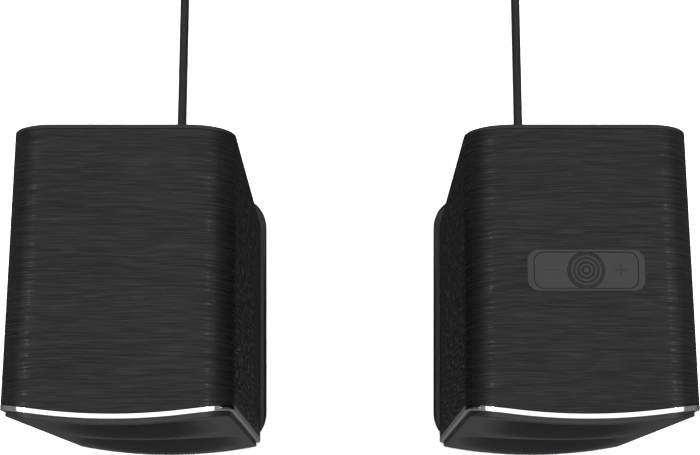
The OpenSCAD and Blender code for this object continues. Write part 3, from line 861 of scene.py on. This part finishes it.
def zone(upper):
    """Rings from the panel's back, through the driver's hole and out over the dish to its edge"""
    which = "upper" if upper else "lower"
    z0, floor_r, rim = DISHES[which]
    hole = HOLES[which]
    edge = zone_edge(PANEL_W - 2 * LIP, PANEL_H - 2 * LIP, TRIM_W + LIP, upper)
    back = zone_edge(MOUTH[0] - 2 * PANEL_GAP, MOUTH[1] - 2 * PANEL_GAP, WALL + PANEL_GAP, upper)
    angles = [math.atan2(v + MID_Z - z0, u) for u, v in edge]
    reach = [math.hypot(u, v + MID_Z - z0) for u, v in edge]

    def ring(radii, depths):
        return [(r * math.cos(a), y, z0 + r * math.sin(a)) for r, a, y in zip(radii, angles, depths)]

    n = len(edge)
    rings = [[(u, BACK_Y, MID_Z + v) for u, v in back]]
    rings.append(ring([hole] * n, [BACK_Y] * n))
    rings.append(ring([hole] * n, [FLOOR_Y + 0.6] * n))
    rings.append(ring([hole + 0.2] * n, [FLOOR_Y + 0.15] * n))
    rings.append(ring([hole + 0.7] * n, [FLOOR_Y] * n))
    rings.append(ring([floor_r] * n, [FLOOR_Y] * n))
    rims = [min(rim(a), far - 0.3) for a, far in zip(angles, reach)]
    slope = 26
    for k in range(1, slope + 1):
        t = k / slope
        radii = [floor_r + (edge_r - floor_r) * t for edge_r in rims]
        depths = [FLOOR_Y + (face(r * math.cos(a)) - FLOOR_Y) * ease(t) for r, a in zip(radii, angles)]
        rings.append(ring(radii, depths))
    land = 5
    for k in range(1, land + 1):
        t = k / land
        radii = [edge_r + (far - edge_r) * t for edge_r, far in zip(rims, reach)]
        rings.append(ring(radii, [face(r * math.cos(a)) for r, a in zip(radii, angles)]))
    return skin(rings)


def front_panel(side):
    """The two dishes, joined along the ridge, and the panel's edge and back"""
    points, faces = [], []
    for upper in (True, False):
        more, more_faces = zone(upper)
        faces += [tuple(i + len(points) for i in f) for f in more_faces]
        points += more
    rings = []
    for inset, drop in reversed(rounded(LIP, 5)):
        line, _, _ = panel_outline(PANEL_W - 2 * inset, PANEL_H - 2 * inset, TRIM_W + inset)
        rings.append([(u, face(u) + drop, MID_Z + v) for u, v in line])
    line, _, _ = panel_outline(PANEL_W, PANEL_H, TRIM_W)
    rings.append([(u, wood_front(u) - 0.05, MID_Z + v) for u, v in line])
    line, _, _ = panel_outline(MOUTH[0] - 2 * PANEL_GAP, MOUTH[1] - 2 * PANEL_GAP, WALL + PANEL_GAP)
    rings.append([(u, wood_front(u) - 0.05, MID_Z + v) for u, v in line])
    rings.append([(u, BACK_Y, MID_Z + v) for u, v in line])
    more, more_faces = skin(rings)
    faces += [tuple(i + len(points) for i in f) for f in more_faces]
    points += more
    obj = shape(side + "_baffle", side, points, faces, 45)
    piece(obj, "front_plastic", replaces=(side + "_front_panel",))


# ---------------------------------------------------------------- drivers

# Middle height, travel, coil radius, cone depth
DRIVERS = {"upper": (UPPER_Z, 2, 8.5, 8), "lower": (LOWER_Z, 3, 12.5, 14)}
CONE_CURVE = 0.86                     # under 1, the cone is steeper at its edge than at its neck


def driver(side, which):
    """The pieces that move together: cone with its former, surround and dust cap"""
    z, travel, coil, depth = DRIVERS[which]
    hole = HOLES[which]
    body = f"{side}_{which}_diaphragm"
    cone = hole - 7
    lip = BACK_Y + travel + 0.6
    neck = coil + 0.4
    front = []
    for k in range(17):
        t = k / 16
        front.append((cone - 0.4 - (cone - 0.4 - neck) * t, lip + (depth - 1) * t ** CONE_CURVE))
    back = [(r + 0.55, y + 0.6) for r, y in front]
    former = [(coil, lip + depth + 0.2), (coil, lip + depth + travel + 4.5),
              (coil - 0.6, lip + depth + travel + 4.5), (coil - 0.6, lip + depth - 0.6)]
    profile = former + front[::-1] + back
    obj = turned(f"{side}_{which}_cone_skin", side, profile, (0, 0, z), "y")
    piece(obj, "cone_paper", body, (f"{side}_{which}_cone",))

    middle, roll, skin_t = cone + 3.1, 2.9, 0.6
    outside = [(middle + roll * math.cos(a), -roll * math.sin(a))
               for a in (math.pi * k / 24 for k in range(25))]
    inside = [(middle + (roll - skin_t) * math.cos(a), -(roll - skin_t) * math.sin(a))
              for a in (math.pi * k / 24 for k in range(24, -1, -1))]
    profile = ([(hole + 1.4, 0.6), (hole + 1.4, 0)] + outside + [(cone - 1.0, -0.15), (cone - 1.0, 0.25)]
               + [(cone, 0.3)] + inside + [(middle + roll, 0.6)])
    obj = turned(f"{side}_{which}_roll", side, profile, (0, lip, z), "y")
    piece(obj, "surround_rubber", body, (f"{side}_{which}_surround",))

    ball, rim = coil * 1.35, coil + 1.0
    rise = math.sqrt(ball ** 2 - rim ** 2)
    slope = (depth - 1) * ((cone - 0.4 - rim) / (cone - 0.4 - neck)) ** CONE_CURVE
    edge = lip + slope - 0.15
    dome = []
    for k in range(19):
        a = math.asin(rim / ball) * k / 18
        dome.append((ball * math.sin(a), edge + rise - ball * math.cos(a)))
    inner = [(max(r - 0.5, 0), y + 0.7) for r, y in reversed(dome)]
    obj = turned(f"{side}_{which}_dome", side, dome + inner, (0, 0, z), "y", closed=False)
    piece(obj, "cap_gloss", body, (f"{side}_{which}_dust_cap",))


# ---------------------------------------------------------------- rear cover and base

JACK_X, JACK_Z, JACK_HOLE_R = 22, 30, 4.1
PLATE_R, PLATE_REAR_W = 18, 104.4


def rear_cover(side):
    rings = [case_ring(0.15, WOOD_REAR_Y), case_ring(0, WOOD_REAR_Y + 0.15)]
    rings += [case_ring(inset, REAR_Y - drop) for inset, drop in rounded(0.3)]
    obj = shape(side + "_back", side, *skin(rings, capped=True))
    if side == "right":
        profile = [(0, -3), (JACK_HOLE_R, -3), (JACK_HOLE_R, 3), (0, 3)]
        cut(obj, turned("hole", side, profile, (JACK_X, REAR_Y, JACK_Z), "y", 48, closed=False))
    piece(obj, "cover_plastic", replaces=(side + "_rear_cover",))


def plate_ring(inset, z):
    """The base plate's outline, wider at the front"""
    r = PLATE_R
    front_w = (PLATE_HIGH.x - PLATE_LOW.x) / 2 - r
    rear_w = PLATE_REAR_W / 2 - r
    front, rear = PLATE_LOW.y + r, PLATE_HIGH.y - r
    ring = []
    for cx, cy, start in ((rear_w, rear, 90), (front_w, front, 0), (-front_w, front, -90),
                          (-rear_w, rear, -180)):
        for k in range(17):
            a = math.radians(start - 90 * k / 16)
            ring.append((cx + (r - inset) * math.cos(a), cy + (r - inset) * math.sin(a), z))
    return ring


def base_plate(side):
    low, high = PLATE_LOW.z, PLATE_HIGH.z
    rings = [plate_ring(0.4, low), plate_ring(0.1, low + 0.12), plate_ring(0, low + 0.4)]
    rings += [plate_ring(inset, high - drop) for inset, drop in rounded(1.5, 6)]
    obj = shape(side + "_plinth", side, *skin(rings, capped=True))
    piece(obj, "base_metal", replaces=(side + "_base_plate",))


# ---------------------------------------------------------------- keys on the right speaker

OPENING = (44.6, 15.9, 4.2)           # of the key plate: width, depth and corner radius
BEZEL_R = 4.8
KEY_GAP = 0.2
KEY_W, KEY_D, KEY_R = (OPENING[0] - 2 * KEY_GAP, OPENING[1] - 2 * KEY_GAP, OPENING[2] - KEY_GAP)
KEY_TOP = TOP_Z + 0.2
KEY_T = 2
BUTTON_R = 7.8
BUTTON_TOP = KEY_TOP + 0.1
MARK_X = 14.6
MARK_L, MARK_W, MARK_DEPTH = 5.4, 0.42, 0.45


def bezel():
    """The plate round the keys, down to below the wood"""
    top = BEZEL_HIGH.z
    w, d, r = BEZEL_HIGH.x - BEZEL_LOW.x, BEZEL_HIGH.y - BEZEL_LOW.y, BEZEL_R
    inner_w, inner_d, inner_r = OPENING

    def ring(width, deep, radius, inset, z):
        return [(BEZEL_X + u, BEZEL_Y + v, z)
                for u, v in outline(width - 2 * inset, deep - 2 * inset, radius - inset, 8, 4, 12)]

    rings = [ring(w, d, r, 0.4, TOP_Z - WALL - 1.5), ring(w, d, r, 0.4, TOP_Z + 0.02),
             ring(w, d, r, 0, TOP_Z + 0.02)]
    rings += [ring(w, d, r, inset, top - drop) for inset, drop in rounded(0.22)]
    rings += [ring(inner_w, inner_d, inner_r, -0.12, top), ring(inner_w, inner_d, inner_r, -0.03, top - 0.03),
              ring(inner_w, inner_d, inner_r, 0, top - 0.12), ring(inner_w, inner_d, inner_r, 0, TOP_Z - 5.5)]
    obj = shape("key_plate", "right", *skin(rings, loop=True))
    piece(obj, "key_plastic", replaces=("key_bezel",))


def half_key(inset, way):
    """Half of the keys' outline, less the round button; way is 1 for the half at +X"""
    half, w, r, bite = KEY_D / 2 - inset, KEY_W / 2 - inset, KEY_R - inset, BUTTON_R + KEY_GAP + inset
    start = math.sqrt(bite ** 2 - half ** 2)
    points = [(x, half) for x in between(start, w - r, 8)]
    points += [(w - r + r * math.cos(a), half - r + r * math.sin(a))
               for a in between(math.pi / 2, 0, 8)]
    points += [(w, y) for y in between(half - r, -half + r, 6)]
    points += [(w - r + r * math.cos(a), -half + r + r * math.sin(a))
               for a in between(0, -math.pi / 2, 8)]
    points += [(x, -half) for x in between(w - r, start, 8)]
    sweep = math.asin(half / bite)
    points += [(bite * math.cos(a), bite * math.sin(a)) for a in between(-sweep, sweep, 32)]
    return [(way * x, y) for x, y in points]


def volume_key(name, way, body, node):
    """A key with its mark cut into it: a minus at -X, a plus at +X"""
    rings = [[(BEZEL_X + x, BEZEL_Y + y, KEY_TOP - KEY_T) for x, y in half_key(0, way)]]
    for inset, drop in rounded(0.15, 3):
        rings.append([(BEZEL_X + x, BEZEL_Y + y, KEY_TOP - drop) for x, y in half_key(inset, way)])
    obj = shape(name, "right", *skin(rings, capped=True))
    bars = [(MARK_L, MARK_W)] if way < 0 else [(MARK_L, MARK_W), (MARK_W, MARK_L)]
    for w, d in bars:
        box = [[(BEZEL_X + way * MARK_X + u, BEZEL_Y + v, z) for u, v in outline(w, d, 0.15, 2, 2, 3)]
               for z in (KEY_TOP - MARK_DEPTH, KEY_TOP + 0.5)]
        cut(obj, shape("mark", "right", *skin(box, capped=True)))
    piece(obj, "key_plastic", body, (node,))


def round_button():
    """A disc with turned grooves, dark at the bottom"""
    profile = [(0, 0)]
    for r in (1.15, 2.95, 4.75, 6.55):
        profile += [(r - 0.05, 0), (r, -0.05), (r + 0.05, -0.15), (r + 0.85, -0.15), (r + 0.9, -0.05),
                    (r + 0.95, 0)]
    profile += [(BUTTON_R - 0.15, 0), (BUTTON_R - 0.04, -0.04), (BUTTON_R, -0.15),
                (BUTTON_R, -KEY_T), (0, -KEY_T)]
    obj = turned("round_key", "right", profile, (BEZEL_X, BEZEL_Y, BUTTON_TOP), "z", closed=False)
    obj.data.materials.append(MATERIALS["key_plastic"])
    obj.data.materials.append(MATERIALS["button_gloss"])
    level = (BUTTON_TOP - 0.02) * MM
    for polygon in obj.data.polygons:
        polygon.material_index = 1 if polygon.center.z < level else 0
    piece(obj, "button_gloss", "centre_button", ("round_button",))


for side in SIDES:
    cabinet(side)
    trim(side)
    front_panel(side)
    rear_cover(side)
    base_plate(side)
    for which in DRIVERS:
        driver(side, which)
bezel()
volume_key("minus_key", -1, "volume_down", "volume_down_key")
volume_key("plus_key", 1, "volume_up", "volume_up_key")
round_button()
